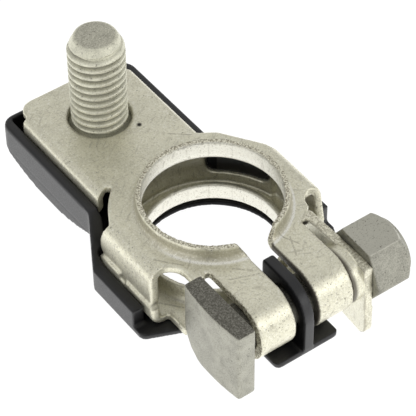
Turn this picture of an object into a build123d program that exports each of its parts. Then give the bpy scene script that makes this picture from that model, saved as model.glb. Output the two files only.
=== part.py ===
from build123d import *
from math import cos, radians, sin, sqrt
import os

os.makedirs("parts", exist_ok=True)

# Every size is in mm. The origin is the middle of the post bore in the plane of the upper rim.
# +Z is up, +X is along the cross bolt towards the nut, +Y is towards the stud.

# Stamped sheet
sheet = 1.3
post_radius = 9.55
collar_wall = 0.75
collar_height = 2.3
fold_room = 0.5
ring_band = 3.7
ring_set_in = 0.5
slot = 3.7
collar_end_slope = 1.25
ear_width = 5.7
fold_reach = 5.75
upper_draw = 1.2
lower_draw = 1.6
upper_root = 0.9
lower_root = 0.7
collar_lap = 0.4
round_steps = 3

# Side folds of the ring
side_front = -5.3
right_front_lean = 1.4
side_rear_top = 5.2
side_rear_low = 6.5
side_tail = 2.4
side_shoulder = 2.0
side_round = 1.2
side_bulge_round = 2.5
seam_z = -8.0
front_seam_z = -8.5
side_overlap = 0.8
lower_step = 0.4
tongue_front = 1.7
seam_gap_end = 0.2
seam_gap = 1.1
inside_bend = 0.5

# Straight cut at the right rear of the upper plate, between two places on the ring in degrees from +X
cut_from = 17.4
cut_to = 50.8

# Front notches, one at each side of the ears
notch_width = 3.8
notch_round = 2.3
ear_relief = 0.45
lower_notch_radius = 2.3
lower_notch_out = 0.1
lower_notch_y = -8.4
lower_front_right = -8.1

# Window in the back wall, in degrees from +X
window_from = 17
window_to = 58
window_sill_height = 1.6
window_round = 1.5
back_front = 3.0

# Arm that carries the stud
arm_middle = -2.35
arm_width = 18.3
arm_past_stud = 8.3
arm_flange_end = 2.6
arm_flange_lap = 3.5
arm_flange_depth = 3.6
arm_shoulder = 1.15
arm_corner = 2.0
arm_rear_inset = 0.9
relief_width = 2.0
relief_depth = 0.8
relief_tip = 0.45

# Tab that the nut bears on
tab_gap = 1.95
tab_thick = 1.4
tab_rear_step = 1.4
tab_rise = 0.45
tab_bend = 1.6
tab_front_reach = 4.8
tab_drop = 9.4
tab_lean = 0.75
tab_corner = 1.5
tab_rear_cut = 3.0
tab_room = 0.3

# Cross bolt with its long head, and the nut
bolt_radius = 3.0
bolt_forward = 0.35
bolt_lower = 0.2
tab_hole_clearance = 0.3
head_gap = 1.85
head_thick = 2.7
head_crown = 0.5
head_clearance = 0.3
head_height = 12.0
head_rear_round = 5.0
neck_depth = 4.4
neck_clearance = 0.25
neck_reach = 5.2
nut_flats = 10.0
nut_hex_length = 5.9
nut_boss_radius = 4.3
nut_boss_length = 0.7
nut_turn = -26.5
nut_chamfer = 0.4
thread_clearance = 0.05
bolt_past_nut = 0.3
bolt_end_chamfer = 0.7

# Stud
stud_radius = 4.0
stud_reach = 9.3
stud_top = 12.45
stud_tip_radius = 2.95
stud_tip_length = 2.1
stud_neck_radius = 3.6
stud_neck_rise = 0.1
stud_hole_gap = 0.45
stud_head_flats = 13.0
stud_head_height = 4.6

# Moulded holder
floor_thick = 0.9
floor_gap = 0.1
holder_post_room = 0.45
base_wall = 1.85
base_wall_height = 3.0
base_wall_front = -4.4
base_front = -6.4
base_front_slope = 0.43
foot_half = 5.2
foot_reach = 4.7
foot_corner = 1.0
base_corner = 1.0
tray_gap = 0.2
tray_wall = 1.5
tray_rear_wall = 0.8
tray_drop = 1.9
tray_sag = 2.2
tray_sag_back = 0.2
tray_rear_rise = 0.2
tray_front_fall = 0.4
tray_front_lap = 3.7
tray_corner = 2.0
tray_edge = 0.4
lug_gap = 0.15
lug_wall = 1.2
lug_lap = 0.5
lug_wall_drop = 1.0
blend_length = 5.4
web_thick = 1.7
web_step = 2.0
web_stand = 0.3
web_top_round = 0.8
web_hole_clearance = 0.3
parting_drop = 0.15
parting_depth = 0.2
parting_width = 0.25

# Dependent sizes
fold_inside = bolt_radius + fold_room
fold_radius = fold_inside + sheet
plate_top = -collar_height
plate_under = plate_top - sheet
base_under = plate_top - 2 * fold_radius
base_over = base_under + sheet
lower_rim = base_over + collar_height
collar_outer = post_radius + collar_wall
ring_radius = collar_outer + ring_band
ring_front = -collar_outer + ring_set_in
fold_middle_y = -collar_outer - fold_reach
fold_middle_z = plate_top - fold_radius
slot_half = slot / 2
ear_outer = slot_half + ear_width
side_half = ring_radius
lower_side = side_half + lower_step
notch_inner = side_half - notch_width
lower_notch_x = side_half + lower_notch_out
window_half = (ring_radius - sheet / 2) * sin(radians((window_to - window_from) / 2))
window_sill = base_over + window_sill_height
stud_y = ring_radius + stud_reach
arm_left = arm_middle - arm_width / 2
arm_right = arm_middle + arm_width / 2
arm_rear = stud_y + arm_past_stud
arm_flange_rear = arm_rear - arm_flange_end
arm_flange_front = ring_radius - arm_flange_lap
bolt_y = fold_middle_y - bolt_forward
bolt_z = fold_middle_z - bolt_lower
tab_inner = ear_outer + tab_gap
tab_outer = tab_inner + tab_thick
tab_rear = ring_front + tab_rear_step
tab_front = bolt_y - tab_front_reach
tab_top = plate_top - tab_bend
tab_bottom = bolt_z - tab_drop
head_inner = -ear_outer - head_gap
head_face = head_inner - head_thick
head_rear = ring_front - head_clearance
head_front = 2 * fold_middle_y - head_rear
head_top = fold_middle_z + head_height / 2
head_bottom = fold_middle_z - head_height / 2
neck_height = 2 * (fold_inside - neck_clearance)
floor_top = base_under - floor_gap
floor_under = floor_top - floor_thick
holder_bore = post_radius + holder_post_room
room_half = lower_side + floor_gap
base_half = room_half + base_wall
base_wall_top = floor_top + base_wall_height
foot_front = bolt_y - foot_reach
tray_floor = plate_under - stud_head_height
tray_top = plate_top - tray_drop
tray_left = arm_left - tray_gap - tray_wall
tray_right = arm_right + tray_gap + tray_wall
tray_rear = arm_rear + tray_gap / 2 + tray_rear_wall
tray_front = ring_radius - tray_front_lap
tray_front_low = tray_floor - tray_front_fall
blend_rear = tray_front - blend_length
web_rear = ring_front - web_step
parting_z = tray_floor - parting_drop
far = 60.0
lap = 0.5
touch = 0.1


def block(x, y, z):
    """Box between two limits on each axis."""
    size = Box(x[1] - x[0], y[1] - y[0], z[1] - z[0])
    return Pos((x[0] + x[1]) / 2, (y[0] + y[1]) / 2, (z[0] + z[1]) / 2) * size


def slab(plan, low, high):
    """Flat plan raised between two heights."""
    return Pos(0, 0, low) * extrude(plan, high - low)


def along_x(points, x):
    """Outline of (y, z) points carried between two x values."""
    wire = Polyline(*[(x[0], y, z) for y, z in points], close=True)
    return extrude(make_face(wire), x[1] - x[0], dir=(1, 0, 0))


def along_y(points, y):
    """Outline of (x, z) points carried between two y values."""
    wire = Polyline(*[(x, y[0], z) for x, z in points], close=True)
    return extrude(make_face(wire), y[1] - y[0], dir=(0, 1, 0))


def rod(radius, x, y=bolt_y, z=bolt_z):
    """Round bar along X."""
    return Pos((x[0] + x[1]) / 2, y, z) * Rot(0, 90, 0) * Cylinder(radius, x[1] - x[0])


def upright(radius, low, high, x=0, y=0):
    """Round bar along Z."""
    return Pos(x, y, (low + high) / 2) * Cylinder(radius, high - low)


def lane(x, y):
    """Flat rectangle between limits."""
    return Pos((x[0] + x[1]) / 2, (y[0] + y[1]) / 2) * Rectangle(x[1] - x[0], y[1] - y[0])


def rounded(shape, radius, axis, pick):
    """Fillet the edges parallel to an axis that the pick function accepts."""
    edges = [e for e in shape.edges().filter_by(axis) if pick(e.center())]
    return fillet(edges, radius)


def front_plan(notch, front):
    """Ring in front of the bore up to the notches, with the ears and their relief cuts."""
    plan = lane((-notch, notch), (front, 0)) + lane((-ear_outer, ear_outer), (fold_middle_y, 0))
    for side in (-1, 1):
        plan -= Pos(side * (ear_outer + ear_relief), front) * Circle(ear_relief)
    return plan


def ring_plan(half):
    """Ring round the bore, cut off at the two sides."""
    plan = Circle(ring_radius) & lane((-half, half), (0, far))
    return plan + lane((-half, half), (side_front, 0))


def channel(half, low, high, y, outer_round, middle=0.0, downward=True):
    """Sheet folded to a channel along Y, open below or above."""
    outer = block((middle - half, middle + half), y, (low, high))
    edge_z = high if downward else low
    outer = rounded(outer, outer_round, Axis.Y, lambda c: abs(c.Z - edge_z) < 0.01)
    inner_z = (low - sheet, high - sheet) if downward else (low + sheet, high + sheet)
    inner = block((middle - half + sheet, middle + half - sheet), y, inner_z)
    inner_edge = inner_z[1] if downward else inner_z[0]
    inner = rounded(inner, inside_bend, Axis.Y, lambda c: abs(c.Z - inner_edge) < 0.01)
    return outer - inner


def quarter(middle, radius):
    """Quarter circle from the left of its middle to below it, in straight steps to save facets."""
    turns = [radians(180 + 90 * step / round_steps) for step in range(round_steps + 1)]
    return [(middle[0] + radius * cos(turn), 0, middle[1] + radius * sin(turn)) for turn in turns]


def collar(low_open, rim, draw, outer_root, plate_side):
    """Collar drawn up from a plate: straight bore, drawn radius below, small root radius outside."""
    z_plate = low_open + sheet
    profile = [(post_radius, 0, rim), (collar_outer, 0, rim)]
    profile += quarter((collar_outer + outer_root, z_plate + outer_root), outer_root)
    profile += [(plate_side, 0, z_plate), (plate_side, 0, low_open)]
    profile += reversed(quarter((post_radius + draw, low_open + draw), draw))
    return revolve(make_face(Polyline(*profile, close=True)), Axis.Z)


# Upper plate with its side folds
upper_plan = ring_plan(side_half - side_shoulder) + front_plan(notch_inner, ring_front)
corner = lane((0, notch_round), (-notch_round, 0)) - Pos(notch_round, -notch_round) * Circle(notch_round)
corner = Pos(notch_inner, side_front) * corner
upper = slab(upper_plan + corner + mirror(corner, Plane.YZ), plate_under, plate_top)
side_end = sqrt(ring_radius ** 2 - (side_half - side_shoulder) ** 2)
side = channel(side_half, front_seam_z, plate_top, (side_front - right_front_lean, side_end), side_shoulder)
side_views = slab(Circle(ring_radius) & lane((-far, far), (0, far)), seam_z, plate_top)
for left, right, front_low in ((-side_half, 0, side_front), (0, side_half, side_front - right_front_lean)):
    side_view = along_x([(side_front, plate_top), (side_rear_top, plate_top),
                         (side_rear_low, seam_z + side_tail), (side_rear_low, seam_z), (seam_gap_end, seam_z),
                         (seam_gap_end, front_seam_z), (front_low, front_seam_z)], (left, right))
    for radius, low, high in ((side_round, seam_z - touch, seam_z + touch),
                              (side_bulge_round, seam_z + side_round, 0)):
        side_view = rounded(side_view, radius, Axis.X,
                            lambda c: c.Y > side_rear_low - touch and low < c.Z < high)
    side_views += side_view
upper += side & side_views
cut_ends = [(ring_radius * cos(radians(turn)), ring_radius * sin(radians(turn)))
            for turn in (cut_from, cut_to)]
off_chord = Polyline(cut_ends[1], (far, cut_ends[1][1]), (far, cut_ends[0][1]), cut_ends[0], close=True)
off_chord = slab(make_face(off_chord), plate_under, 0)

# Arm, a channel with a relief notch where it leaves the ring
arm = channel(arm_width / 2, plate_top - arm_flange_depth, plate_top, (arm_flange_front, arm_flange_rear),
              arm_shoulder, arm_middle)
arm_plan = lane((arm_left + arm_rear_inset, arm_right - arm_rear_inset), (0, arm_rear))
arm_plan = fillet([v for v in arm_plan.vertices() if v.Y > 1], arm_corner)
arm += slab(arm_plan, plate_under, plate_top)
arm -= upright(ring_radius - sheet, base_under, plate_under)
relief_x = arm_left + relief_width
relief_y = arm_flange_front + relief_depth
relief = Polyline((-far, arm_flange_front), (arm_left, arm_flange_front), (relief_x, relief_y),
                  (relief_x + relief_tip, relief_y - relief_tip), (relief_x, 0), (-far, 0), close=True)
arm -= slab(make_face(relief), base_under, 0)
upper += arm

# Lower plate: a shallow cup with a wall round its rear and sides
lower_plan = ring_plan(lower_side - side_shoulder) + lane(
    (-lower_side + side_shoulder, lower_side - side_shoulder), (side_front - side_overlap, side_rear_low))
lower_plan += front_plan(lower_notch_x - lower_notch_radius, ring_front)
for side in (-1, 1):
    lower_plan -= Pos(side * lower_notch_x, lower_notch_y) * Circle(lower_notch_radius)
lower_plan -= lane((ear_outer + 2 * ear_relief, far), (-far, lower_front_right))
lower = slab(lower_plan, base_under, base_over)
lower_walls = channel(lower_side, base_under, seam_z, (side_front - side_overlap, side_rear_low),
                      side_shoulder, downward=False)
lower_walls = rounded(lower_walls, side_round, Axis.X,
                      lambda c: c.Y > side_rear_low - touch and c.Z > seam_z - touch)
lower += lower_walls - block((-far, far), (-far, seam_gap_end), (front_seam_z, 0))
back_plan = (Circle(ring_radius) - Circle(ring_radius - sheet)) & lane((-far, far), (back_front, far))
lower += slab(back_plan, base_under, plate_under + inside_bend)
gap = block((side_half, far), (seam_gap_end, tongue_front), (seam_z - seam_gap, far))
lower -= gap + mirror(gap, Plane.YZ)
window = block((0, ring_radius + side_shoulder), (-window_half, window_half), (window_sill, plate_under))
window = rounded(window, window_round, Axis.X, lambda c: c.Z < window_sill + touch)
window = Rot(0, 0, (window_from + window_to) / 2) * window
window -= upright(ring_radius - sheet - lap, -far, far)

# Folds that join the two plates round the bolt
folds = rod(fold_radius, (-ear_outer, ear_outer), fold_middle_y, fold_middle_z)
folds -= rod(fold_inside, (-far, far), fold_middle_y, fold_middle_z)
folds &= block((-far, far), (-far, fold_middle_y), (-far, far))

# Tab folded down from the right of the upper plate, with the nut seat
tab = along_x([(tab_rear, tab_bottom + tab_rear_cut), (tab_rear - tab_rear_cut, tab_bottom),
               (tab_front, tab_bottom), (tab_front + tab_lean, tab_top), (ring_front, tab_top + tab_rise),
               (tab_rear, tab_top + tab_rise)], (tab_inner, tab_outer))
tab = rounded(tab, tab_corner, Axis.X, lambda c: c.Y < tab_front + touch and c.Z < tab_bottom + touch)
bend = block((tab_inner - lap, tab_outer), (ring_front, tab_rear), (tab_top, plate_top))
bend = rounded(bend, tab_bend - touch / 2, Axis.Y,
               lambda c: c.X > tab_outer - touch and c.Z > plate_top - touch)
bend -= block((0, tab_inner), (-far, far), (-far, plate_under))
tab += bend

body = upper + lower + folds + tab - off_chord - window
collars = ((plate_under, 0, upper_draw, upper_root), (base_under, lower_rim, lower_draw, lower_root))
for under, rim, draw, root in collars:
    drawn_side = max(collar_outer + root, post_radius + draw)
    body -= upright(drawn_side, under, rim)
    body += collar(under, rim, draw, root, drawn_side + collar_lap)

# Slot between the ears, with the collar ends sloping down to it
body -= block((-slot_half, slot_half), (-far, 0), (-far, far))
for rim, foot in ((0, plate_top), (lower_rim, base_over)):
    slope = along_y([(-slot_half, foot), (slot_half, foot), (slot_half + collar_end_slope, rim + touch),
                     (-slot_half - collar_end_slope, rim + touch)], (-collar_outer - lap, 0))
    body -= slope

body -= upright(stud_radius + stud_hole_gap, plate_under - lap, plate_top + lap, arm_middle, stud_y)
body -= rod(bolt_radius + tab_hole_clearance, (tab_inner - lap, tab_outer + lap))

# Cross bolt: crowned head, flat-sided neck and round shank
head = block((head_face - head_crown, head_inner), (head_front, head_rear), (head_bottom, head_top))
half_span = (head_rear - head_front) / 2
crown_radius = (half_span ** 2 + head_crown ** 2) / (2 * head_crown)
head &= upright(crown_radius, head_bottom - lap, head_top + lap, head_face - head_crown + crown_radius,
                fold_middle_y)
head = rounded(head, head_rear_round, Axis.X,
               lambda c: c.Y > head_rear - touch and c.Z < head_bottom + touch)
neck = block((head_inner - touch, head_inner + neck_reach),
             (bolt_y - neck_depth / 2, bolt_y + neck_depth / 2),
             (bolt_z - neck_height / 2, bolt_z + neck_height / 2))
neck &= rod(fold_inside - touch, (-far, far), fold_middle_y, fold_middle_z) + block(
    (-far, far), (fold_middle_y, far), (-far, far))
bolt_end = tab_outer + nut_hex_length + nut_boss_length + bolt_past_nut
shank = rod(bolt_radius, (head_inner, bolt_end))
shank = chamfer(shank.edges().filter_by(GeomType.CIRCLE).sort_by(Axis.X)[-1], bolt_end_chamfer)
bolt = head + neck + shank

# Tall hexagon nut with a round end
nut_seat = Pos(tab_outer, bolt_y, bolt_z) * Rot(0, 90, 0)
nut = extrude(Rot(0, 0, nut_turn) * RegularPolygon(nut_flats / 2, 6, major_radius=False), nut_hex_length)
cone = Pos(0, 0, nut_hex_length / 2) * Cylinder(nut_flats / sqrt(3), nut_hex_length)
nut &= chamfer(cone.edges().filter_by(GeomType.CIRCLE).sort_by(Axis.Z)[-1], nut_chamfer, 2 * nut_chamfer)
nut_height = nut_hex_length + nut_boss_length
nut += Pos(0, 0, nut_height / 2) * Cylinder(nut_boss_radius, nut_height)
nut = nut_seat * (nut - Cylinder(bolt_radius + thread_clearance, far))

# Stud with its hexagon head held under the arm
stud_neck_top = plate_top + stud_neck_rise
stud = upright(stud_radius, stud_neck_top, stud_top, arm_middle, stud_y)
stud = chamfer(stud.edges().filter_by(GeomType.CIRCLE).sort_by(Axis.Z)[-1], stud_tip_length,
               stud_radius - stud_tip_radius)
stud += upright(stud_neck_radius, plate_under, stud_neck_top, arm_middle, stud_y)
stud_head = extrude(RegularPolygon(stud_head_flats / 2, 6, major_radius=False), stud_head_height)
stud += Pos(arm_middle, stud_y, tray_floor) * Rot(0, 0, 30) * stud_head

# Holder: base round the ring, with a wall outside the clamp's side flanges
slope_y = base_front - (base_half - foot_half) * base_front_slope
base_plan = Circle(base_half) & lane((-far, far), (0, far))
base_plan += make_face(Polyline(
    (-base_half, 0), (-base_half, base_front), (-foot_half, slope_y), (-foot_half, foot_front),
    (foot_half, foot_front), (foot_half, slope_y), (base_half, base_front), (base_half, 0), close=True))
base_plan = fillet([v for v in base_plan.vertices() if v.Y < foot_front + touch], foot_corner)
base_plan = fillet([v for v in base_plan.vertices() if abs(v.Y - base_front) < touch], base_corner)
holder = slab(base_plan, floor_under, floor_top)
wall_plan = Circle(base_half) & lane((-far, far), (0, far))
wall_plan += lane((-base_half, base_half), (base_wall_front, 0))
holder += slab(wall_plan, floor_top, base_wall_top)

# Tray with a sagging underside
side_view = Wire([
    Line((0, 0, tray_top), (0, tray_rear, tray_top)),
    Line((0, tray_rear, tray_top), (0, tray_rear, tray_floor + tray_rear_rise)),
    ThreePointArc((0, tray_rear, tray_floor + tray_rear_rise),
                  (0, stud_y + tray_sag_back, tray_floor - tray_sag), (0, tray_front, tray_front_low)),
    Line((0, tray_front, tray_front_low), (0, 0, tray_front_low)),
    Line((0, 0, tray_front_low), (0, 0, tray_top))])
tray = Pos(tray_left, 0, 0) * extrude(make_face(side_view), tray_right - tray_left, dir=(1, 0, 0))
tray = rounded(tray, tray_corner, Axis.Z, lambda c: c.Y > 1)
top_edges = [e for e in tray.edges() if e.center().Z > tray_top - touch / 10 and e.center().Y > 1]
tray = fillet(top_edges, tray_edge)
tray -= block((tray_left + tray_wall, tray_right - tray_wall), (-far, tray_rear - tray_rear_wall),
              (tray_floor, 0))
tray -= block((-far, far), (-far, tray_front), (-far, far))
tray_lane = lane((tray_left + tray_wall / 2, tray_right - tray_wall / 2), (tray_front - 1, far))
holder += tray + slab(Circle(base_half) & tray_lane, floor_top, tray_floor)

# Left wall slanting from the tray down to the base
slant = make_face(Polyline(
    (tray_left, tray_front + 1), (tray_left, tray_front), (-base_half, blend_rear), (-base_half, 0),
    (tray_left + tray_wall, tray_front - 1), (tray_left + tray_wall, tray_front + 1), close=True))
slant = slab(slant, floor_under, tray_top)
slant &= along_x([(0, floor_under), (blend_rear, floor_under), (tray_front, tray_front_low),
                  (far, tray_front_low), (far, tray_top), (tray_front, tray_top),
                  (blend_rear, base_wall_top), (0, base_wall_top)], (-far, far))
holder += slant

# Room for the tab in the right front of the base
holder -= block((tab_inner - tab_room, far), (-far, tab_rear + tab_room), (-far, 0))

# Curved wall behind the window, with the lug that fills it
lug_turn = Rot(0, 0, (window_from + window_to) / 2)
lug_sector = lug_turn * lane((0, far), (-window_half - lug_lap, window_half + lug_lap))
lug_ring = Circle(room_half + lug_wall) & lug_sector
holder += slab(lug_ring, floor_top, tray_top - lug_wall_drop)
room = Circle(room_half) + lane((-room_half, room_half), (-far, side_rear_low + floor_gap))
holder -= slab(room, floor_top, 0)
lug = block((0, room_half + lug_gap), (-window_half + lug_gap, window_half - lug_gap),
            (window_sill + lug_gap, plate_under - lug_gap))
lug = lug_turn * rounded(lug, window_round, Axis.X, lambda c: c.Z < window_sill + lap)
lug &= upright(room_half + lug_gap, -far, 0) - upright(ring_radius - sheet + lug_gap, -far, 0)
holder += lug
holder -= upright(holder_bore, -far, far)
groove = block((tray_left - 1, tray_left + parting_depth), (tray_front, tray_rear - tray_corner),
               (parting_z - parting_width / 2, parting_z + parting_width / 2))
holder -= groove

web_radius = fold_radius + web_stand
web = rod(web_radius, (-web_thick / 2, web_thick / 2), fold_middle_y, fold_middle_z)
web &= block((-far, far), (-far, fold_middle_y), (fold_middle_z, far))
web += block((-web_thick / 2, web_thick / 2), (fold_middle_y - web_radius, web_rear),
             (floor_top, fold_middle_z))
web += block((-web_thick / 2, web_thick / 2), (fold_middle_y, web_rear),
             (fold_middle_z, fold_middle_z + web_radius))
web = rounded(web, web_top_round, Axis.X, lambda c: c.Y > web_rear - touch and c.Z > fold_middle_z + lap)
web -= rod(bolt_radius + web_hole_clearance, (-far, far))
holder += web

pieces = {"clamp_body": body, "holder": holder, "stud": stud, "cross_bolt": bolt, "nut": nut}
for name, shape in pieces.items():
    solids = shape.solids()
    print(name, "solids", len(solids), "volume", round(shape.volume, 1), "box", shape.bounding_box())
    export_step(shape, f"parts/{name}.step")
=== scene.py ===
import math

import bmesh
import bpy
import numpy as np
from mathutils import Matrix, Vector


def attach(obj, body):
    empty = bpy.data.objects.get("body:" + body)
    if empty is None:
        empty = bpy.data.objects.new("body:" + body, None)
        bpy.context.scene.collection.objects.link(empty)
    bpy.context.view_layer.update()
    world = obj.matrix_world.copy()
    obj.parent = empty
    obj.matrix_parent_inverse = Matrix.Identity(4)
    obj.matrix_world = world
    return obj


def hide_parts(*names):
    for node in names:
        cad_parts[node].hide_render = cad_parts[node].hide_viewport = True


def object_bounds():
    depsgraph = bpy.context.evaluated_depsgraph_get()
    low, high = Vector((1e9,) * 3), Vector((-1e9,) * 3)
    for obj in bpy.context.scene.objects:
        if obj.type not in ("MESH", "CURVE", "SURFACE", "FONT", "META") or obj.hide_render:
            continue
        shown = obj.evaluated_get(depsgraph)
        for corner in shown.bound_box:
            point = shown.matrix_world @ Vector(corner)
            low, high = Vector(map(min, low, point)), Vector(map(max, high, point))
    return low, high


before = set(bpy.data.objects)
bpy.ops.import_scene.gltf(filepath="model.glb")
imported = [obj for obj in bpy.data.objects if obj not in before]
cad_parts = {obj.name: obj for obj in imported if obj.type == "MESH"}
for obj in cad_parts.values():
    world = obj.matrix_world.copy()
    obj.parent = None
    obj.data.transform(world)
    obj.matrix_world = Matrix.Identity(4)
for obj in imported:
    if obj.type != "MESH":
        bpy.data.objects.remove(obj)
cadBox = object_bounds()
mm = 0.001
boltAxis = {"y": -16.4, "z": -7.3}  # in mm: the tab's hole, the nut and the sleeve are round it
print("frame loaded")


# helpers for material nodes

def feed(tree, node, inputs):
    # an input that is given a socket is linked, any other is set
    for key, value in inputs.items():
        if isinstance(value, bpy.types.NodeSocket):
            tree.links.new(value, node.inputs[key])
        else:
            node.inputs[key].default_value = value


def put(tree, kind, inputs=None, **settings):
    # adds a node with its settings and its inputs
    made = tree.nodes.new(kind)
    for key, value in settings.items():
        setattr(made, key, value)
    feed(tree, made, inputs or {})
    return made


def calc(tree, operation, a, b):
    return put(tree, "ShaderNodeMath", {0: a, 1: b}, operation=operation).outputs[0]


def times(tree, a, b):
    return calc(tree, "MULTIPLY", a, b)


def largest(tree, masks):
    # the largest of some masks, point by point
    total = masks[0]
    for mask in masks[1:]:
        total = calc(tree, "MAXIMUM", total, mask)
    return total


def remap(tree, value, low, high, toLow=0.0, toHigh=1.0):
    # straight ramp from low..high to toLow..toHigh, held at both ends
    made = put(tree, "ShaderNodeMapRange", {"Value": value, "From Min": low, "From Max": high,
                                            "To Min": toLow, "To Max": toHigh})
    return made.outputs["Result"]


def tint(tree, factor, first, second):
    # colour mix: first at factor 0, second at factor 1
    first, second = (value if isinstance(value, bpy.types.NodeSocket) else (*value, 1.0)
                     for value in (first, second))
    made = put(tree, "ShaderNodeMix", {0: factor, 6: first, 7: second}, data_type="RGBA")
    return made.outputs[2]


def wash(tree, colour, mask, weight, second):
    # moves a colour towards the second one by the mask times the weight
    return tint(tree, times(tree, mask, weight), colour, second)


def shade(colour, share):
    return [channel * share for channel in colour]


def markOf(tree, name):
    # a mark that is written on the piece's points, and 0 on a piece without it
    return put(tree, "ShaderNodeAttribute", attribute_name=name).outputs["Fac"]


def inMillimetres(tree, turn=(0, 0, 0), stretch=(1, 1, 1)):
    # object coordinates in mm, turned and stretched for grain and scratches
    place = put(tree, "ShaderNodeTexCoord").outputs["Object"]
    turned = put(tree, "ShaderNodeVectorRotate", {"Vector": place, "Rotation": turn},
                 rotation_type="EULER_XYZ")
    scale = tuple(share / mm for share in stretch)
    return put(tree, "ShaderNodeMapping", {"Vector": turned.outputs[0], "Scale": scale}).outputs[0]


def noise(tree, place, perMm, detail=2.0, rough=0.5, bend=0.0):
    made = put(tree, "ShaderNodeTexNoise", {"Vector": place, "Scale": perMm, "Detail": detail,
                                            "Roughness": rough, "Distortion": bend})
    return made.outputs["Fac"]


def spots(tree, place, perMm, share, size):
    # small round spots: the nearest cell point is close, and the cell's own random value is under share
    cells = put(tree, "ShaderNodeTexVoronoi", {"Vector": place, "Scale": perMm})
    near = remap(tree, cells.outputs["Distance"], size, size * 0.5)
    red = put(tree, "ShaderNodeSeparateColor", {"Color": cells.outputs["Color"]}).outputs[0]
    return times(tree, near, remap(tree, red, share, share * 0.9))


scratchLook = {"upright": 0.3, "bend": 0.25, "edge": 0.03, "patches": (0.16, 1.0), "patchEdge": (0.48, 0.6)}


def scratches(tree, degrees, perMm, length, share, seed):
    # short thin lines: noise squeezed across one direction and bent a little, kept at its peaks in patches
    stretch = (1.0 / length, 1.0, scratchLook["upright"])
    place = inMillimetres(tree, (0, 0, math.radians(degrees)), stretch)
    shift = {"Vector": place, "Location": (seed, 2.7 * seed, 0)}
    moved = put(tree, "ShaderNodeMapping", shift).outputs[0]
    peaks = remap(tree, noise(tree, moved, perMm, 1.0, bend=scratchLook["bend"]), share,
                  share + scratchLook["edge"])
    patches = noise(tree, inMillimetres(tree, (seed, seed, 0)), *scratchLook["patches"])
    return times(tree, peaks, remap(tree, patches, *scratchLook["patchEdge"]))


def strokes(tree, place, ends, width):
    # single drawn scratches: distance from straight strokes given by their ends in mm, seen from above
    flat = put(tree, "ShaderNodeVectorMath", {0: place, 1: (1, 1, 0)}, operation="MULTIPLY").outputs[0]
    lines = []
    for start, end in ends:
        start, way = Vector((*start, 0)), Vector((*end, 0)) - Vector((*start, 0))
        off = put(tree, "ShaderNodeVectorMath", {0: flat, 1: start}, operation="SUBTRACT").outputs[0]
        along = put(tree, "ShaderNodeVectorMath", {0: off, 1: way / way.length_squared},
                    operation="DOT_PRODUCT")
        part = remap(tree, along.outputs["Value"], 0.0, 1.0)
        foot = put(tree, "ShaderNodeVectorMath", {0: way, "Scale": part}, operation="SCALE").outputs[0]
        far = put(tree, "ShaderNodeVectorMath", {0: off, 1: foot}, operation="DISTANCE")
        lines.append(remap(tree, far.outputs["Value"], width, width * 0.4))
    return largest(tree, lines)


def newMaterial(name):
    made = bpy.data.materials.new(name)
    made.use_nodes = True
    tree = made.node_tree
    tree.nodes.clear()
    shader = put(tree, "ShaderNodeBsdfPrincipled")
    put(tree, "ShaderNodeOutputMaterial", {"Surface": shader.outputs[0]})
    return made, tree, shader


def bumps(tree, shader, height, strength, distance):
    # the distance is in mm
    made = put(tree, "ShaderNodeBump", {"Strength": strength, "Distance": distance * mm, "Height": height})
    feed(tree, shader, {"Normal": made.outputs[0]})


# matt tin of the clamp and its sleeve

tin = {
    # bright also makes the painted highlights, stain the painted shade on the collar's outer wall, hollow the
    # painted shade inside the hollow, and the specks' dark the painted deep shade
    "colour": (0.66, 0.64, 0.50), "pale": (0.78, 0.76, 0.63), "dark": (0.30, 0.28, 0.22),
    "stainAndShade": (0.40, 0.375, 0.29), "bright": (0.86, 0.85, 0.79), "hollow": (0.17, 0.155, 0.105),
    "speckAndShadeDark": (0.10, 0.09, 0.07), "crumb": (0.20, 0.17, 0.11),
    "roughness": 0.40, "cutRougher": 0.12, "metallic": 0.65, "bump": (0.3, 0.03), "boreRadius": 9.55,
    # noises: lumps per mm, detail and roughness
    "noises": {"cloud": (0.22, 4.0, 0.6), "grain": (3.2, 4.0, 0.65), "fine": (9.0, 2.0),
               "smudge": (0.75, 5.0, 0.72), "dots": (4.6, 2.0, 0.6), "wear": (3.0, 3.0, 0.7),
               "crumbs": (3.4, 4.0, 0.75)},
    "ticks": (0.9, 2.0),
    # how strongly each layer covers the colour under it
    "smudges": 0.45, "innerWall": 0.6, "innerTicks": 0.30, "fineScratches": 0.6, "allScratches": 0.6,
    "specks": 0.8, "hollowShade": 0.8, "cutEdge": 0.8,
    "wallLightAndShade": (("outerWall", 0.6, "stainAndShade"), ("rootHighlight", 0.9, "bright"), ("tabFaceLight", 0.2, "bright")),
    "edges": (("edgeLine", 0.6, "dark"), ("deepShade", 0.95, "speckAndShadeDark")),
    # fine scratches: direction in degrees, lines per mm, length, noise level, seed
    "scratches": ((24, 2.6, 6.0, 0.64, 1.3), (-38, 2.2, 7.0, 0.65, 4.1), (70, 3.0, 5.0, 0.66, 7.7),
                  (-8, 2.8, 6.0, 0.66, 2.9)),
    # spots: cells per mm, share of the cells that have one, size
    "spots": ((1.1, 0.30, 0.12), (2.6, 0.18, 0.16)),
    # drawn scratches and one black dot, where the photo shows them
    "long": (((3.3, -13.9), (4.6, -10.8)), ((4.9, -12.6), (3.6, -9.8)), ((-6.2, -12.2), (-3.2, -13.4)),
             ((-4.8, -10.9), (-2.9, -12.6)), ((-12.1, -3.5), (-9.6, -6.6)), ((5.5, 12.5), (3.1, 14.6))),
    "longWidth": 0.16, "dot": (((0.9, 18.4), (0.95, 18.45)),), "dotWidth": 0.46,
}


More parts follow.
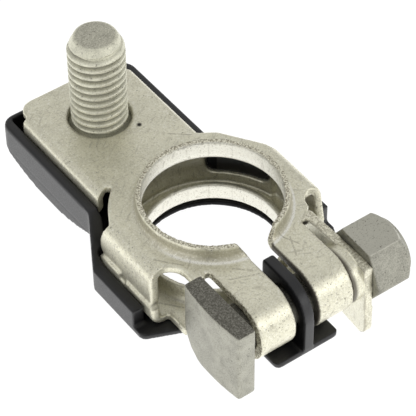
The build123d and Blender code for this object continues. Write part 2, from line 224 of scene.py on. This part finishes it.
def tinnedSheet():
    made, tree, shader = newMaterial("tinnedSheet")
    place = inMillimetres(tree)
    pattern = {name: noise(tree, place, *spec) for name, spec in tin["noises"].items()}
    mark = {name: markOf(tree, name) for name in (
        "innerWall", "outerWall", "rootHighlight", "tabFaceLight", "foldWear", "hollowShade", "cutEdge",
        "edgeLine", "deepShade")}
    # clouds of two close shades, pale grain and brown smudges
    colour = tint(tree, remap(tree, pattern["cloud"], 0.35, 0.65), shade(tin["colour"], 0.90),
                  shade(tin["colour"], 1.04))
    colour = tint(tree, remap(tree, pattern["grain"], 0.3, 0.7, 0.0, 0.4), colour, tin["pale"])
    smudges = remap(tree, pattern["smudge"], 0.55, 0.70)
    colour = wash(tree, colour, smudges, tin["smudges"], tin["stainAndShade"])
    # painted highlight on the inner walls of the collars, with faint upright marks of the drawing: noise
    # along the arc only
    colour = wash(tree, colour, mark["innerWall"], tin["innerWall"], tin["bright"])
    axes = put(tree, "ShaderNodeSeparateXYZ", {"Vector": place}).outputs
    arc = times(tree, calc(tree, "ARCTAN2", axes[1], axes[0]), tin["boreRadius"])
    onArc = put(tree, "ShaderNodeCombineXYZ", {"X": arc}).outputs[0]
    ticks = times(tree, remap(tree, noise(tree, onArc, *tin["ticks"]), 0.60, 0.66), mark["innerWall"])
    colour = wash(tree, colour, ticks, tin["innerTicks"], tin["stainAndShade"])
    # painted shade on the upper collar's outer wall, a painted highlight along its root, and painted light on
    # the tab's face
    for name, weight, second in tin["wallLightAndShade"]:
        colour = wash(tree, colour, mark[name], weight, tin[second])
    # dull dots where one noise is low and bright ones where it is high
    colour = tint(tree, remap(tree, pattern["dots"], 0.44, 0.33, 0.0, 0.55), colour, tin["stainAndShade"])
    colour = tint(tree, remap(tree, pattern["dots"], 0.56, 0.67, 0.0, 0.5), colour, tin["bright"])
    # scratches, the drawn ones broken up by the grain
    fineOnes = largest(tree, [scratches(tree, *spec) for spec in tin["scratches"]])
    longOnes = times(tree, strokes(tree, place, tin["long"], tin["longWidth"]),
                     remap(tree, pattern["grain"], 0.38, 0.5))
    lines = largest(tree, [times(tree, fineOnes, tin["fineScratches"]), longOnes])
    colour = wash(tree, colour, lines, tin["allScratches"], tin["dark"])
    # dark specks, with more of them on the worn folds, then painted shade in the hollow and the black dot
    worn = times(tree, remap(tree, pattern["wear"], 0.60, 0.66), mark["foldWear"])
    specks = largest(tree, [spots(tree, place, *spec) for spec in tin["spots"]] + [worn])
    colour = wash(tree, colour, specks, tin["specks"], tin["speckAndShadeDark"])
    colour = wash(tree, colour, mark["hollowShade"], tin["hollowShade"], tin["hollow"])
    dot = strokes(tree, place, tin["dot"], tin["dotWidth"])
    colour = tint(tree, dot, colour, shade(tin["speckAndShadeDark"], 0.2))
    # sheared edges are ragged: brown crumbs between pale metal
    crumbs = remap(tree, pattern["crumbs"], 0.45, 0.55)
    ragged = tint(tree, crumbs, tin["crumb"], shade(tin["pale"], 1.1))
    colour = wash(tree, colour, mark["cutEdge"], tin["cutEdge"], ragged)
    # a thin dark line along the tab's inner edge, and painted deep shade on the slot's side and in the slit
    for name, weight, second in tin["edges"]:
        colour = wash(tree, colour, mark[name], weight, tin[second])
    rough = remap(tree, pattern["grain"], 0.25, 0.75, tin["roughness"] - 0.06, tin["roughness"] + 0.08)
    rough = calc(tree, "ADD", rough, times(tree, mark["cutEdge"], tin["cutRougher"]))
    feed(tree, shader, {"Base Color": colour, "Roughness": rough, "Metallic": tin["metallic"]})
    # relief: fine noise, crumbs on the sheared edges, broad clouds, and scratches that cut in
    height = calc(tree, "ADD", pattern["fine"], times(tree, crumbs, times(tree, mark["cutEdge"], 2.0)))
    height = calc(tree, "ADD", height, times(tree, pattern["cloud"], 6.0))
    height = calc(tree, "ADD", height, times(tree, lines, -1.0))
    bumps(tree, shader, height, *tin["bump"])
    return made


# zinc of the bolt and nut, and the paler zinc of the stud

# the pit colour also makes the painted shade and the pale colour the painted light on chosen faces
flake = {"name": "zincFlake", "colour": (0.32, 0.315, 0.265), "pale": (0.50, 0.49, 0.42),
         "pitAndShade": (0.09, 0.085, 0.07), "roughness": 0.5, "metallic": 0.75, "lines": 0.15}
plated = {"name": "studPlating", "colour": (0.65, 0.64, 0.51), "pale": (0.85, 0.83, 0.70),
          "pitAndShade": (0.17, 0.16, 0.13), "roughness": 0.48, "metallic": 0.45, "lines": 0.1}
# what both have, in the same order as in the tin
zinc = {"cloud": (0.5, 5.0, 0.65), "grain": (5.0, 4.0, 0.7), "pits": 0.75, "groove": 0.8,
        "spots": ((1.3, 0.42, 0.19), (2.4, 0.26, 0.2)), "bump": (0.45, 0.05),
        "scratches": ((15, 2.4, 6.0, 0.62, 3.3), (-50, 2.2, 8.0, 0.63, 6.1))}


def zincSurface(spec):
    made, tree, shader = newMaterial(spec["name"])
    place = inMillimetres(tree)
    cloud, grain = noise(tree, place, *zinc["cloud"]), noise(tree, place, *zinc["grain"])
    colour = tint(tree, remap(tree, cloud, 0.35, 0.65), shade(spec["colour"], 0.8),
                  shade(spec["colour"], 1.12))
    # painted shade and painted light on chosen faces, by how light falls on them: the mark is below or above
    # zero there
    tone = markOf(tree, "faceLightShade")
    colour = tint(tree, remap(tree, tone, 0.0, -1.0), colour, spec["pitAndShade"])
    colour = tint(tree, remap(tree, tone, 0.0, 1.0), colour, spec["pale"])
    colour = tint(tree, remap(tree, grain, 0.45, 0.72, 0.0, 0.6), colour, spec["pale"])
    colour = tint(tree, remap(tree, grain, 0.44, 0.30, 0.0, 0.7), colour, spec["pitAndShade"])
    pits = largest(tree, [spots(tree, place, *spot) for spot in zinc["spots"]])
    colour = wash(tree, colour, pits, zinc["pits"], spec["pitAndShade"])
    lines = largest(tree, [scratches(tree, *line) for line in zinc["scratches"]])
    colour = wash(tree, colour, lines, spec["lines"], spec["pitAndShade"])
    colour = wash(tree, colour, markOf(tree, "groove"), zinc["groove"], spec["pitAndShade"])
    rough = remap(tree, grain, 0.3, 0.7, spec["roughness"] - 0.06, spec["roughness"] + 0.08)
    feed(tree, shader, {"Base Color": colour, "Roughness": rough, "Metallic": spec["metallic"]})
    # relief: grain on broad clouds, less the pits
    height = calc(tree, "SUBTRACT", calc(tree, "ADD", grain, times(tree, cloud, 2.0)), pits)
    bumps(tree, shader, height, *zinc["bump"])
    return made


# black moulding of the holder

moulding = {"colour": (0.004, 0.004, 0.0045), "dust": (0.04, 0.04, 0.042), "dusty": 0.6,
            "spots": (2.2, 0.2, 0.12), "cloud": (0.3, 3.0), "grain": (7.0, 3.0, 0.6), "bump": (0.35, 0.03),
            "roughness": 0.42, "specular": 0.5, "dimSpecular": 0.08}


def blackMoulding():
    made, tree, shader = newMaterial("blackMoulding")
    place = inMillimetres(tree)
    cloud, grain = noise(tree, place, *moulding["cloud"]), noise(tree, place, *moulding["grain"])
    colour = tint(tree, remap(tree, cloud, 0.35, 0.7), moulding["colour"], shade(moulding["colour"], 1.6))
    dust = spots(tree, place, *moulding["spots"])
    colour = wash(tree, colour, dust, moulding["dusty"], moulding["dust"])
    rough = remap(tree, grain, 0.3, 0.7, moulding["roughness"] - 0.05, moulding["roughness"] + 0.1)
    # hardly any sheen inside the base's ring, behind the window and on the web's shaded side
    sheen = remap(tree, markOf(tree, "dimSide"), 0.0, 1.0, moulding["specular"], moulding["dimSpecular"])
    feed(tree, shader, {"Base Color": colour, "Roughness": rough, "Specular IOR Level": sheen})
    bumps(tree, shader, grain, *moulding["bump"])
    return made


tinned, moulded = tinnedSheet(), blackMoulding()
flaked, studPlating = zincSurface(flake), zincSurface(plated)
print("materials made")


# helpers for pieces and for the marks on them

def linked(name, data):
    # an object with this data, at the origin and in the scene
    made = bpy.data.objects.new(name, data)
    bpy.context.scene.collection.objects.link(made)
    return made


def smoothShaded(mesh, material):
    mesh.materials.clear()
    mesh.materials.append(material)
    mesh.polygons.foreach_set("use_smooth", np.ones(len(mesh.polygons), dtype=bool))
    mesh.update()


def newPiece(name, points, faces, material):
    # points in mm as rows of three, faces as lists of their numbers
    mesh = bpy.data.meshes.new(name)
    mesh.from_pydata((points * mm).tolist(), [], faces)
    smoothShaded(mesh, material)
    return linked(name, mesh)


def softCopy(node, name, spec, material):
    # merged copy of a solid, rebuilt on a fine grid and smoothed: stamped and moulded edges get round
    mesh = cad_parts[node].data.copy()
    work = bmesh.new()
    work.from_mesh(mesh)
    bmesh.ops.remove_doubles(work, verts=work.verts, dist=1e-6)
    work.to_mesh(mesh)
    work.free()
    piece = linked(name, mesh)
    grid = piece.modifiers.new("grid", "REMESH")
    grid.mode, grid.voxel_size, grid.use_smooth_shade = "VOXEL", spec["voxel"] * mm, True
    ease = piece.modifiers.new("ease", "SMOOTH")
    ease.factor, ease.iterations = 0.5, spec["passes"]
    graph = bpy.context.evaluated_depsgraph_get()
    made = bpy.data.meshes.new_from_object(piece.evaluated_get(graph))
    piece.modifiers.clear()
    piece.data = made
    made.name = name
    smoothShaded(made, material)
    print(name, "faces", len(made.polygons))
    return piece


def pointsOf(piece):
    # positions in mm and normals, as rows of three
    mesh = piece.data
    places = np.empty(len(mesh.vertices) * 3, dtype=np.float32)
    mesh.vertices.foreach_get("co", places)
    normals = np.empty(len(mesh.vertices) * 3, dtype=np.float32)
    mesh.vertex_normals.foreach_get("vector", normals)
    return places.reshape(-1, 3) / mm, normals.reshape(-1, 3)


def movePoints(piece, places):
    piece.data.vertices.foreach_set("co", (places * mm).astype(np.float32).ravel())
    piece.data.update()


def writeMark(piece, name, values):
    mark = piece.data.attributes.new(name, "FLOAT", "POINT")
    mark.data.foreach_set("value", values.astype(np.float32))


def rise(values, low, high):
    # 0 up to low, 1 from high on, and straight between
    return np.clip((values - low) / (high - low), 0, 1)


def band(values, low, high, edge=0.08):
    # 1 between low and high, falling to 0 over the edge width
    return np.clip((values - low) / edge + 0.5, 0, 1) * np.clip((high - values) / edge + 0.5, 0, 1)


# clamp body in tinned sheet, with x to the right, y to the rear and z up, in mm

sheet = {
    "voxel": 0.227, "passes": 2,
    "rim": 0.0, "plateTop": -2.3, "plateUnder": -3.6, "boreWall": 9.9, "outerWall": (10.05, 11.0),
    "wallTop": -0.45, "rimEdge": 10.5, "rootHighlight": (10.7, 11.0), "rootFront": (2.0, 5.0),
    "earSide": 7.55, "earRear": -9.0, "slotSide": 1.85, "slotRear": -10.5,
    "hollow": {"z": (-9.0, -5.5), "top": -3.2, "radius": 14.4, "front": -6.0},
    "fold": {"z": (-10.5, -3.0), "front": (15.5, 17.0)},
    "shoulder": {"z": (-8.2, -2.45), "side": (11.0, 12.0), "y": (-13.0, 6.0)},
    "slit": {"x": (7.4, 8.75), "y": (-10.7, -9.3), "z": (-9.0, -2.75)},
    "tab": {"inner": 9.5, "outer": 10.9, "rear": -8.2, "topRear": -8.8, "lineRear": -9.5, "faceFrom": 8.0},
    # how far the tab's root leans and rises, and where that starts and ends
    "bend": {"lean": 1.05, "lift": 1.15, "y": (boltAxis["y"], -9.8), "rear": (7.6, 8.4), "x": (8.3, 9.5),
             "z": (-7.0, -4.0)},
    # the tab's lower outline: heights under four places along y, in place of one low end
    "under": {"y": (-20.5, -16.35, -16.05, -8.0), "z": (-16.1, -15.5, -12.9, -12.9), "waist": -9.0,
              "low": -16.7, "x": (9.2, 11.2)},
}


def markSheet(piece):
    # each mark is 1 on the faces that it names, found by place and normal, and 0 elsewhere
    place, normal = pointsOf(piece)
    x, y, z = place.T
    radius, side, sideways = np.hypot(x, y), np.abs(x), np.abs(normal[:, 0])
    tab, hollow, fold = sheet["tab"], sheet["hollow"], sheet["fold"]
    shoulder, slit = sheet["shoulder"], sheet["slit"]
    # sheared faces: the upper collar's rim, the sides of the slot and the ears, and the tab's edges
    onRim = (np.abs(z - sheet["rim"]) < 0.3) & (normal[:, 2] > 0.5) & (radius < sheet["rimEdge"])
    onEars = (y < sheet["earRear"]) & (sideways > 0.6) & (side < sheet["earSide"] + 0.2)
    inTab = (x > tab["inner"] - 0.1) & (x < tab["outer"] + 0.1) & (y < tab["rear"])
    tabEdge = inTab & (sideways < 0.6) & (z < sheet["plateUnder"])
    tabTop = inTab & (normal[:, 2] > 0.5) & (y < tab["topRear"])
    writeMark(piece, "cutEdge", np.maximum(1.0 * (onRim | onEars), np.maximum(0.35 * tabEdge, 0.6 * tabTop)))
    # thin dark line along the tab's sheared inner edge, above and in front
    onCorner = (np.abs(x - tab["inner"]) < 0.16) & (sideways > 0.25) & (sideways < 0.96)
    upOrFront = (normal[:, 2] > 0.25) | (normal[:, 1] < -0.25)
    writeMark(piece, "edgeLine", inTab & onCorner & upOrFront & (y < tab["lineRear"]))
    # inner walls, for the painted highlight: the normal points at the bore's axis
    inward = -(x * normal[:, 0] + y * normal[:, 1]) / np.maximum(radius, 0.1)
    writeMark(piece, "innerWall", (radius < sheet["boreWall"]) * rise(inward, 0.3, 0.8))
    # painted shade on the upper collar's outer wall, and a painted highlight along its root in front
    outerWall = band(z, sheet["plateTop"] + 0.2, sheet["wallTop"]) * band(radius, *sheet["outerWall"])
    writeMark(piece, "outerWall", outerWall)
    rootHighlight = band(radius, *sheet["rootHighlight"], 0.15) * (z < sheet["plateTop"] + 0.5) * (normal[:, 2] > 0.2)
    writeMark(piece, "rootHighlight", rootHighlight * rise(-y, *sheet["rootFront"]))
    # painted shade on the back wall and the side walls inside the hollow, darker towards the upper plate
    inHollow = (z < hollow["top"]) * (radius < hollow["radius"]) * (y > hollow["front"])
    writeMark(piece, "hollowShade", rise(z, *hollow["z"]) * inHollow * rise(inward, 0.1, 0.6))
    # wear on the ears' front folds and on the side folds
    onFolds = band(z, *fold["z"], 1.0) * rise(-y, *fold["front"]) * (side < sheet["earSide"])
    onShoulders = band(z, *shoulder["z"], 0.3) * rise(side, *shoulder["side"]) * band(y, *shoulder["y"], 1.0)
    writeMark(piece, "foldWear", np.maximum(onFolds, onShoulders))
    # painted light on the tab's face beside the ear, and painted deep shade on the slot's side and in the
    # slit beside the tab
    writeMark(piece, "tabFaceLight", (normal[:, 0] < -0.5) & (x > tab["faceFrom"]) & (y < tab["rear"]))
    onSlot = (np.abs(x - sheet["slotSide"]) < 0.3) & (normal[:, 0] < -0.5) & (y < sheet["slotRear"])
    inSlit = band(x, *slit["x"], 0.2) * band(y, *slit["y"], 0.2) * band(z, *slit["z"], 0.1)
    writeMark(piece, "deepShade", np.maximum(onSlot, inSlit))


def bendTab(piece):
    # the root leans to the ear and rises up to the plate's top, both in step with a ramp from the bolt's
    # hole to the root; below the waist, heights are squeezed in the ratio of the wanted to the old low end
    place, bend, under = pointsOf(piece)[0], sheet["bend"], sheet["under"]
    x, y, z = place.T
    toRoot = rise(y, *bend["y"]) * rise(-y, *bend["rear"]) * rise(x, *bend["x"])
    raised = np.minimum(z + bend["lift"] * toRoot * rise(z, *bend["z"]), sheet["plateTop"])
    height = np.where(toRoot > 0, raised, z)
    ratio = (np.interp(y, under["y"], under["z"]) - under["waist"]) / (under["low"] - under["waist"])
    lowTab = (z < under["waist"]) & (x > under["x"][0]) & (x < under["x"][1]) & (y < sheet["tab"]["rear"])
    height = np.where(lowTab, under["waist"] + (z - under["waist"]) * ratio, height)
    movePoints(piece, np.stack([x - bend["lean"] * toRoot, y, height], axis=-1))


body = softCopy("clamp_body", "clampSheet", sheet, tinned)
markSheet(body)
bendTab(body)
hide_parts("clamp_body")
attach(body, "clamp")


# black holder

holderLook = {"voxel": 0.24, "passes": 3, "ringRadius": 11.5, "webSide": 2.0, "webRear": -10.5,
              "windowSide": 8.0, "windowFront": 8.0, "windowLow": -8.5}


def markHolder(piece):
    # dim faces: inside the base's ring, the web's left side and the lug behind the window
    place, normal = pointsOf(piece)
    x, y, z = place.T
    fromAxis = np.hypot(x, y)
    outward = x * normal[:, 0] + y * normal[:, 1]
    inRing = (fromAxis < holderLook["ringRadius"]) & (outward < -0.3 * fromAxis)
    onWeb = (np.abs(x) < holderLook["webSide"]) & (y < holderLook["webRear"]) & (normal[:, 0] < -0.5)
    inWindow = (np.abs(x) < holderLook["windowSide"]) & (y > holderLook["windowFront"])
    inWindow &= (z > holderLook["windowLow"]) & (normal[:, 1] < -0.3)
    writeMark(piece, "dimSide", inRing | onWeb | inWindow)


holder = softCopy("holder", "mouldedHolder", holderLook, moulded)
markHolder(holder)
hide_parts("holder")
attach(holder, "clamp")


# cross bolt and nut: painted shade on the bolt's faces that look up and painted light on the nut's, and a
# little painted shade on all the nut's others

boltLook = {"voxel": 0.16, "passes": 24, "upperLightShade": -0.95, "otherLightShade": 0.0}
nutLook = {"voxel": 0.12, "passes": 12, "upperLightShade": 0.9, "otherLightShade": -0.2, "shoulder": 15.3,
           "length": 1.5, "corner": 5.8, "drawIn": 1.0}


def paintLightShade(piece, spec):
    upward = rise(pointsOf(piece)[1][:, 2], 0.5, 0.75)
    writeMark(piece, "faceLightShade", spec["upperLightShade"] * upward + spec["otherLightShade"])


def roundNutEnd(piece):
    # from the shoulder on, the distance from the bolt's axis stays under a parabola that falls to the end
    place, centre = pointsOf(piece)[0], (boltAxis["y"], boltAxis["z"])
    off = place[:, 1:] - centre
    reach = np.maximum(np.hypot(off[:, 0], off[:, 1]), 0.1)
    past = rise(place[:, 0], nutLook["shoulder"], nutLook["shoulder"] + nutLook["length"])
    allowed = nutLook["corner"] - nutLook["drawIn"] * past ** 2
    place[:, 1:] = centre + off * np.minimum(1, allowed / reach)[:, None]
    movePoints(piece, place)


crossBolt = softCopy("cross_bolt", "longHeadBolt", boltLook, flaked)
paintLightShade(crossBolt, boltLook)
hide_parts("cross_bolt")
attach(crossBolt, "bolt")

nut = softCopy("nut", "tallNut", nutLook, flaked)
paintLightShade(nut, nutLook)
roundNutEnd(nut)
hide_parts("nut")
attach(nut, "nut")
print("softened copies made")


# sleeve on the tab round the bolt

boss = {"face": 7.8, "tab": 9.6, "bore": 3.1, "outer": 4.15, "edge": 0.12, "flare": 0.15, "flareSteps": 9,
        "step": 0.08, "around": 96, "shadeReach": 8.25, "shadeAhead": 0.2, "shadeEdge": 0.5}


def bossPiece():
    # turned round the bolt's axis: bore, end face, a chamfer, a straight wall, and a flare of 45 degrees
    # at the tab, with finer steps at its foot
    wall = np.arange(boss["face"] + boss["edge"] + boss["step"], boss["tab"] - boss["flare"], boss["step"])
    flare = boss["flare"] * (1 - np.cos(np.linspace(0, np.pi / 2, boss["flareSteps"])))
    along = np.concatenate(([boss["tab"], boss["face"], boss["face"], boss["face"] + boss["edge"]], wall,
                            boss["tab"] - boss["flare"] + flare))
    radius = np.concatenate(([boss["bore"], boss["bore"], boss["outer"] - boss["edge"], boss["outer"]],
                             np.full(len(wall), boss["outer"]), boss["outer"] + flare))
    turn = np.linspace(0, 2 * np.pi, boss["around"], endpoint=False)
    points = np.stack([along[:, None] + 0 * turn, boltAxis["y"] + radius[:, None] * np.cos(turn),
                       boltAxis["z"] + radius[:, None] * np.sin(turn)], axis=-1)
    # the last row of the profile joins the first, and the last angle the first
    index = np.arange(points.shape[0] * points.shape[1]).reshape(points.shape[:2])
    after, right = np.roll(index, -1, axis=0), np.roll(index, -1, axis=1)
    quads = np.stack([index, right, np.roll(after, -1, axis=1), after], axis=-1).reshape(-1, 4)
    piece = newPiece("tabBoss", points.reshape(-1, 3), quads.tolist(), tinned)
    # dark beside the ear: the shade reaches further along the sleeve in front and fades at the rear
    ahead = -np.cos(turn) + 0 * along[:, None]
    reach = boss["shadeReach"] + boss["shadeAhead"] * np.clip(ahead, 0, 1)
    shaded = np.clip((reach - points[..., 0]) / boss["shadeEdge"] + 0.5, 0, 1)
    writeMark(piece, "deepShade", (shaded * np.clip(ahead + 1.25, 0.3, 1)).ravel())
    return piece


tabBoss = bossPiece()
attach(tabBoss, "clamp")
print("sleeve made")


# stud with its thread

stud = {"x": -2.35, "y": 23.3, "crest": 4.0, "pitch": 1.25, "depth": 0.68, "rootShare": 0.09,
        "crestShare": 0.36, "start": 0.35, "top": 12.45, "tipRadius": 2.95, "tipLength": 2.1,
        "brim": 0.35, "brimLength": 0.25, "neckTop": -2.2, "neckRadius": 3.6, "plateUnder": -3.6,
        "headLow": -8.2, "headFlats": 13.0, "headEdge": 0.3, "around": 144, "perPitch": 14,
        "cleanTip": 1.7, "topShade": -0.55}


def threadRadius(turn, height):
    # crest radius less a groove that climbs one pitch in each turn: full depth near the groove's middle,
    # and smooth flanks up to the crest, by their share of the pitch from the middle
    phase = (height / stud["pitch"] - turn / (2 * np.pi) + stud["start"]) % 1.0
    flank = rise(np.abs(phase - 0.5), stud["rootShare"], stud["crestShare"])
    return stud["crest"] - stud["depth"] * (1 - flank * flank * (3 - 2 * flank))


def studPiece():
    # radius over angle and height: a hexagon head under the arm, a neck in its hole, then the thread
    turns = np.linspace(0, 2 * np.pi, stud["around"], endpoint=False)
    rows = int((stud["top"] - stud["neckTop"]) / stud["pitch"] * stud["perPitch"])
    headRows = [stud["headLow"], stud["headLow"] + stud["headEdge"], stud["plateUnder"] - stud["headEdge"],
                stud["plateUnder"]]
    neckRows = [stud["plateUnder"], stud["neckTop"]]
    heights = np.concatenate((headRows, neckRows, np.linspace(stud["neckTop"], stud["top"], rows)))
    turn, height = np.meshgrid(turns, heights)
    row = np.arange(len(heights))[:, None] + 0 * turn
    inHead, inThread = row < len(headRows), row >= len(headRows) + len(neckRows)
    # the tip narrows in a straight line, with a rounded brim, and cuts the thread off
    limit = stud["crest"] + (stud["tipRadius"] - stud["crest"]) * rise(
        height, stud["top"] - stud["tipLength"], stud["top"])
    limit = limit - stud["brim"] * rise(height, stud["top"] - stud["brimLength"], stud["top"]) ** 2
    radius = np.minimum(threadRadius(turn, height), limit)
    # hexagon: flat distance over the cosine of the angle from the nearest flat's middle
    corner = (turn + np.pi / 6) % (np.pi / 3) - np.pi / 6
    hexagon = stud["headFlats"] / 2 / np.cos(corner)
    atEnds = (row == 0) | (row == len(headRows) - 1)
    hexagon = np.where(atEnds, hexagon - stud["headEdge"], hexagon)
    radius = np.where(inThread, radius, np.where(inHead, hexagon, stud["neckRadius"]))
    points = np.stack([stud["x"] + radius * np.cos(turn), stud["y"] + radius * np.sin(turn), height], axis=-1)
    piece = closedTube("threadedStud", points, studPlating)
    # darker in the thread's roots, by the square of the depth under the crest, but not on the tip
    inGrooves = inThread & (height <= stud["top"] - stud["cleanTip"])
    grooveDark = np.where(inGrooves, np.clip((stud["crest"] - radius) / stud["depth"], 0, 1), 0) ** 2
    writeMark(piece, "groove", np.concatenate((grooveDark.ravel(), [0, 0])))
    # painted shade on the sawn top
    topShading = np.where(height > stud["top"] - 0.05, stud["topShade"], 0)
    writeMark(piece, "faceLightShade", np.concatenate((topShading.ravel(), [0, stud["topShade"]])))
    return piece


def closedTube(name, points, material):
    # tube from rows of points round an axis, with a fan of triangles to a middle point at each end
    rows, around = points.shape[:2]
    index = np.arange(rows * around).reshape(rows, around)
    right = np.roll(index, -1, axis=1)
    quads = np.stack([index[:-1], right[:-1], right[1:], index[1:]], axis=-1).reshape(-1, 4)
    low, high = rows * around, rows * around + 1
    lowFan = np.stack([np.full(around, low), right[0], index[0]], axis=-1)
    highFan = np.stack([np.full(around, high), index[-1], right[-1]], axis=-1)
    places = np.concatenate([points.reshape(-1, 3), points[0].mean(0)[None], points[-1].mean(0)[None]])
    return newPiece(name, places, quads.tolist() + lowFan.tolist() + highFan.tolist(), material)


studShape = studPiece()
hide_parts("stud")
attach(studShape, "clamp")
print("stud made")


# camera as in the photo, with angles in degrees and places in mm

view = {"azimuth": -35.78, "elevation": 45.96, "roll": -0.605, "distance": 293.18,
        "target": (-2.222, -1.953, 0.0), "lens": 192.92, "sensor": 36.0, "clip": (0.01, 20.0)}


def direction(azimuth, elevation):
    # unit vector from the middle outwards: azimuth 0 is the front, 90 the right
    az, el = math.radians(azimuth), math.radians(elevation)
    return Vector((math.sin(az) * math.cos(el), -math.cos(az) * math.cos(el), math.sin(el)))


def photoCamera():
    # the camera looks back along the direction, and its right and up axes are turned by the roll
    back = direction(view["azimuth"], view["elevation"])
    az, roll = math.radians(view["azimuth"]), math.radians(view["roll"])
    right = Vector((math.cos(az), math.sin(az), 0))
    up = back.cross(right)
    rolledRight = math.cos(roll) * right + math.sin(roll) * up
    rolledUp = math.cos(roll) * up - math.sin(roll) * right
    data = bpy.data.cameras.new("photoCamera")
    data.lens, data.sensor_width = view["lens"], view["sensor"]
    data.clip_start, data.clip_end = view["clip"]
    camera = linked("photoCamera", data)
    spot = (Vector(view["target"]) + view["distance"] * back) * mm
    turned = Matrix((rolledRight, rolledUp, back)).transposed().to_4x4()
    camera.matrix_world = Matrix.Translation(spot) @ turned
    bpy.context.scene.camera = camera


photoCamera()


# white floor, 1.6 m wide; it glows for the camera and in reflections

floorSet = {"size": 1600, "colour": 0.86, "cooler": 0.985, "cloud": (0.05, 2.0), "roughness": 0.9,
            "specular": 0.1, "white": 1.15, "cameraShare": 0.85, "glossyWhite": 1.95, "glossyShare": 0.9}


def paleFloor():
    # one square at the height of the solids' lowest point
    half, low = floorSet["size"] / 2, cadBox[0][2] / mm
    made, tree, shader = newMaterial("paleFloor")
    warm, cooler = (floorSet["colour"],) * 3, floorSet["colour"] * floorSet["cooler"]
    tone = tint(tree, noise(tree, inMillimetres(tree), *floorSet["cloud"]), warm,
                (cooler, cooler, floorSet["colour"]))
    feed(tree, shader, {"Base Color": tone, "Roughness": floorSet["roughness"],
                        "Specular IOR Level": floorSet["specular"]})
    rays = put(tree, "ShaderNodeLightPath").outputs
    power = remap(tree, rays["Is Glossy Ray"], 0.0, 1.0, floorSet["white"], floorSet["glossyWhite"])
    glow = put(tree, "ShaderNodeEmission", {"Color": (1, 1, 1, 1), "Strength": power})
    share = calc(tree, "ADD", times(tree, rays["Is Camera Ray"], floorSet["cameraShare"]),
                 times(tree, rays["Is Glossy Ray"], floorSet["glossyShare"]))
    mixed = put(tree, "ShaderNodeMixShader", {0: share, 1: shader.outputs[0], 2: glow.outputs[0]})
    feed(tree, tree.nodes["Material Output"], {"Surface": mixed.outputs[0]})
    corners = np.array([(-half, -half, low), (half, -half, low), (half, half, low), (-half, half, low)])
    newPiece("floor", corners, [(0, 1, 2, 3)], made)


paleFloor()


# three soft round lamps that look at the middle, with distances and sizes in metres, power in watts

lamps = {
    "key": {"azimuth": -95, "elevation": 32, "distance": 0.6, "size": 0.4, "power": 0.4},
    "front": {"azimuth": 25, "elevation": 24, "distance": 0.7, "size": 0.34, "power": 1.05},
    "rear": {"azimuth": 140, "elevation": 55, "distance": 0.7, "size": 0.6, "power": 0.15},
}


def studioLamps():
    for name, spec in lamps.items():
        way = direction(spec["azimuth"], spec["elevation"])
        data = bpy.data.lights.new(name, "AREA")
        data.shape, data.size, data.energy = "DISK", spec["size"], spec["power"]
        turned = way.to_track_quat("Z", "Y").to_matrix().to_4x4()
        linked(name, data).matrix_world = Matrix.Translation(way * spec["distance"]) @ turned


studioLamps()


# white sky, dimmer as a light than the camera sees it

sky = {"strength": 0.69, "cameraWhite": 1.0}


def softSky():
    world = bpy.data.worlds.new("softSky")
    world.use_nodes = True
    tree = world.node_tree
    tree.nodes.clear()
    seen = put(tree, "ShaderNodeLightPath").outputs["Is Camera Ray"]
    strength = remap(tree, seen, 0.0, 1.0, sky["strength"], sky["cameraWhite"])
    back = put(tree, "ShaderNodeBackground", {"Color": (1, 1, 1, 1), "Strength": strength})
    put(tree, "ShaderNodeOutputWorld", {"Surface": back.outputs[0]})
    bpy.context.scene.world = world


softSky()
bpy.context.scene.view_settings.view_transform = "Standard"
print("camera, floor and light set")
